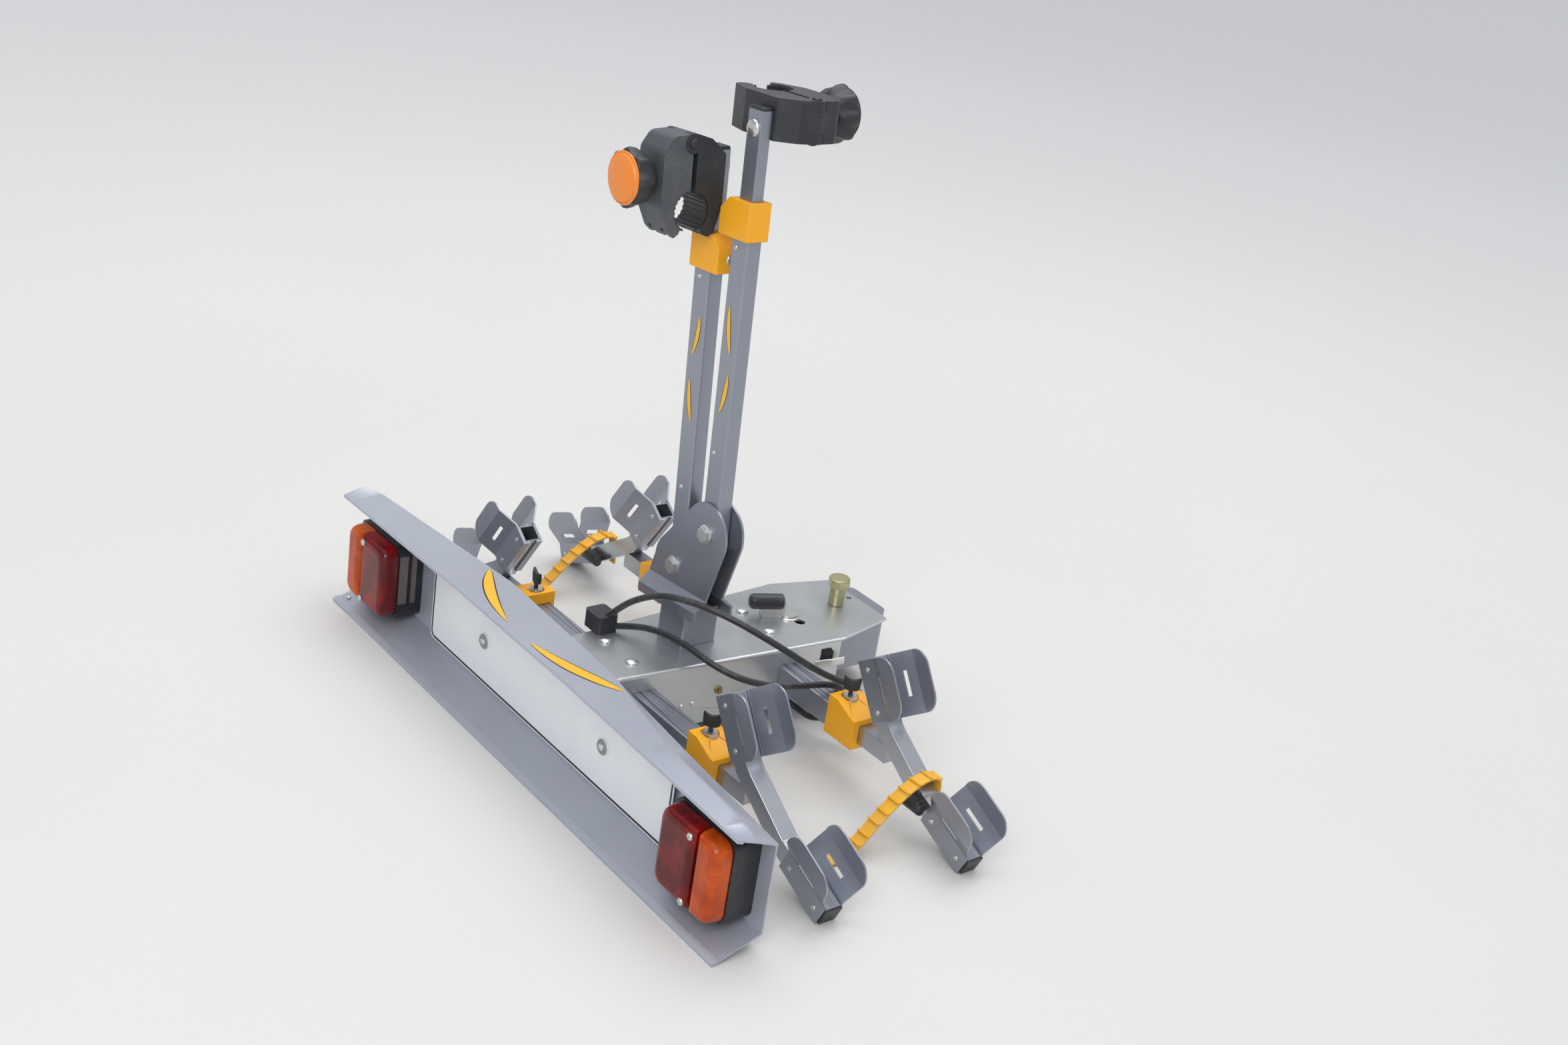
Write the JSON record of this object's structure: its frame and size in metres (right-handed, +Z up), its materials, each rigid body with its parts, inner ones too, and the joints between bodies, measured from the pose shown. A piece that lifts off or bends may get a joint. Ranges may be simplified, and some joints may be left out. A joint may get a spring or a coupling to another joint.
{
  "type": "towbar bicycle carrier",
  "caption": "Towbar bicycle carrier with light board, number plate, folding telescopic arms with frame clamps, sliding wheel cradles and a towball coupling.",
  "frame": {"origin": "middle of the carrier's footprint on the floor it stands on", "axes": "+X to the right across the vehicle, +Y forward to the towball, +Z up"},
  "size_m": [0.8712, 0.543, 0.7725],
  "materials": {
    "silver_paint": "satin metallic paint",
    "zinc": "zinc plated",
    "yellow_plastic": "moulded, satin",
    "black_plastic": "moulded, satin",
    "orange_plastic": "moulded",
    "lens": "red and amber, glossy",
    "plate": "white, gloss",
    "cable": "satin"
  },
  "bodies": {
    "carrier_frame": {"bar_collar_front_left": "yellow_plastic", "bar_collar_front_right": "yellow_plastic", "bar_collar_rear_left": "yellow_plastic", "bar_collar_rear_right": "yellow_plastic", "cable_holder": "black_plastic", "chassis_cover": "silver_paint", "coupling_housing": "silver_paint", "crossbar_bolts": "zinc", "crossbar_front": "silver_paint", "crossbar_rear": "silver_paint", "head_plates": "silver_paint", "lamp_housing_left": "black_plastic", "lamp_housing_right": "black_plastic", "lamp_lens_left": "lens", "lamp_lens_right": "lens", "leads": "cable", "light_board": "silver_paint", "number_plate": "plate", "pivot_bolt_left": "zinc", "pivot_bolt_right": "zinc", "post": "silver_paint"},
    "arm_left": {"arm_left": "silver_paint", "arm_collar_left": "yellow_plastic"},
    "arm_inner_left": {"arm_inner_left": "silver_paint", "swivel_bolt_left": "zinc"},
    "clamp_left": {"clamp_base_left": "black_plastic"},
    "jaw_left": {"clamp_jaw_left": "black_plastic"},
    "rod_left": {"clamp_rod_left": "zinc"},
    "knob_left": {"clamp_knob_left": "black_plastic", "clamp_cap_left": "orange_plastic"},
    "arm_right": {"arm_right": "silver_paint", "arm_collar_right": "yellow_plastic"},
    "arm_inner_right": {"arm_inner_right": "silver_paint", "swivel_bolt_right": "zinc"},
    "clamp_right": {"clamp_base_right": "black_plastic"},
    "jaw_right": {"clamp_jaw_right": "black_plastic"},
    "rod_right": {"clamp_rod_right": "zinc"},
    "knob_right": {"clamp_knob_right": "black_plastic", "clamp_cap_right": "black_plastic"},
    "cradle_rear_left": {"cradle_rear_left": "silver_paint", "guides_rear_left": "silver_paint", "end_plug_rear_left": "black_plastic"},
    "clamp_screw_rear_left": {"clamp_screw_rear_left": "zinc"},
    "cradle_rear_right": {"cradle_rear_right": "silver_paint", "guides_rear_right": "silver_paint", "end_plug_rear_right": "black_plastic"},
    "clamp_screw_rear_right": {"clamp_screw_rear_right": "zinc"},
    "cradle_front_left": {"cradle_front_left": "silver_paint", "guides_front_left": "silver_paint", "end_plug_front_left": "black_plastic", "wheel_strap_left": "yellow_plastic"},
    "clamp_screw_front_left": {"clamp_screw_front_left": "zinc"},
    "cradle_front_right": {"cradle_front_right": "silver_paint", "guides_front_right": "silver_paint", "end_plug_front_right": "black_plastic", "wheel_strap_right": "yellow_plastic"},
    "clamp_screw_front_right": {"clamp_screw_front_right": "zinc"},
    "lever": {"lever_plate": "zinc", "lever_grip": "black_plastic"},
    "setting_bolt": {"setting_bolt": "zinc"}
  },
  "joints": [
    {"name": "left_arm_fold", "type": "hinge", "parent": "carrier_frame", "child": "arm_left", "pos_m": [-0.02464, -0.0225, 0.19498], "axis": [0, -1, 0], "range_deg": [0, 85]},
    {"name": "left_arm_telescope", "type": "slide", "parent": "arm_left", "child": "arm_inner_left", "axis": [-0.075, 0, 0.9972], "range_m": [0, 0.09]},
    {"name": "left_clamp_swivel", "type": "hinge", "parent": "arm_inner_left", "child": "clamp_left", "pos_m": [-0.06022, -0.02995, 0.66815], "axis": [0, 1, 0], "range_deg": [0, 180]},
    {"name": "left_jaw_open", "type": "hinge", "parent": "clamp_left", "child": "jaw_left", "pos_m": [-0.06239, -0.07395, 0.69707], "axis": [-0.9972, 0, -0.075], "range_deg": [-5, 5]},
    {"name": "left_screw_travel", "type": "slide", "parent": "clamp_left", "child": "rod_left", "axis": [0, -1, 0], "range_m": [-0.0036, 0.0036]},
    {"name": "left_knob_turn", "type": "hinge", "parent": "rod_left", "child": "knob_left", "pos_m": [-0.05947, -0.11995, 0.65818], "axis": [0, -1, 0], "continuous": true},
    {"name": "right_arm_fold", "type": "hinge", "parent": "carrier_frame", "child": "arm_right", "pos_m": [0.0271, -0.0225, 0.25874], "axis": [0, 1, 0], "range_deg": [0, 88]},
    {"name": "right_arm_telescope", "type": "slide", "parent": "arm_right", "child": "arm_inner_right", "axis": [-0.0541, 0, 0.9985], "range_m": [-0.05, 0.09]},
    {"name": "right_clamp_swivel", "type": "hinge", "parent": "arm_inner_right", "child": "clamp_right", "pos_m": [0.00179, -0.01505, 0.72605], "axis": [0, 1, 0], "continuous": true},
    {"name": "right_jaw_open", "type": "hinge", "parent": "clamp_right", "child": "jaw_right", "pos_m": [0.0301, 0.02895, 0.7396], "axis": [0.0541, 0, -0.9985], "range_deg": [-5, 5]},
    {"name": "right_screw_travel", "type": "slide", "parent": "clamp_right", "child": "rod_right", "axis": [0, 1, 0], "range_m": [-0.0036, 0.0036]},
    {"name": "right_knob_turn", "type": "hinge", "parent": "rod_right", "child": "knob_right", "pos_m": [-0.00885, 0.07495, 0.73749], "axis": [0, 1, 0], "continuous": true},
    {"name": "cradle_rear_left_slide", "type": "slide", "parent": "carrier_frame", "child": "cradle_rear_left", "axis": [-1, 0, 0], "range_m": [0, 0.06]},
    {"name": "clamp_screw_rear_left_turn", "type": "hinge", "parent": "carrier_frame", "child": "clamp_screw_rear_left", "pos_m": [-0.186, -0.1185, 0.102], "axis": [0, 0, 1], "continuous": true},
    {"name": "cradle_rear_right_slide", "type": "slide", "parent": "carrier_frame", "child": "cradle_rear_right", "axis": [1, 0, 0], "range_m": [0, 0.06]},
    {"name": "clamp_screw_rear_right_turn", "type": "hinge", "parent": "carrier_frame", "child": "clamp_screw_rear_right", "pos_m": [0.186, -0.1185, 0.102], "axis": [0, 0, 1], "continuous": true},
    {"name": "cradle_front_left_slide", "type": "slide", "parent": "carrier_frame", "child": "cradle_front_left", "axis": [-1, 0, 0], "range_m": [0, 0.06]},
    {"name": "clamp_screw_front_left_turn", "type": "hinge", "parent": "carrier_frame", "child": "clamp_screw_front_left", "pos_m": [-0.186, 0.0845, 0.102], "axis": [0, 0, 1], "continuous": true},
    {"name": "cradle_front_right_slide", "type": "slide", "parent": "carrier_frame", "child": "cradle_front_right", "axis": [1, 0, 0], "range_m": [0, 0.06]},
    {"name": "clamp_screw_front_right_turn", "type": "hinge", "parent": "carrier_frame", "child": "clamp_screw_front_right", "pos_m": [0.186, 0.0845, 0.102], "axis": [0, 0, 1], "continuous": true},
    {"name": "lever_turn", "type": "hinge", "parent": "carrier_frame", "child": "lever", "pos_m": [0.002, 0.1335, 0.108], "axis": [0, 0, 1], "range_deg": [-100, 0]},
    {"name": "setting_bolt_turn", "type": "hinge", "parent": "carrier_frame", "child": "setting_bolt", "pos_m": [0, 0.2135, 0.108], "axis": [0, 0, 1], "continuous": true}
  ],
  "couplings": [
    {"joint": "left_screw_travel", "follows": "left_jaw_open", "m_per_rad": 0.039},
    {"joint": "right_screw_travel", "follows": "right_jaw_open", "m_per_rad": 0.039}
  ]
}
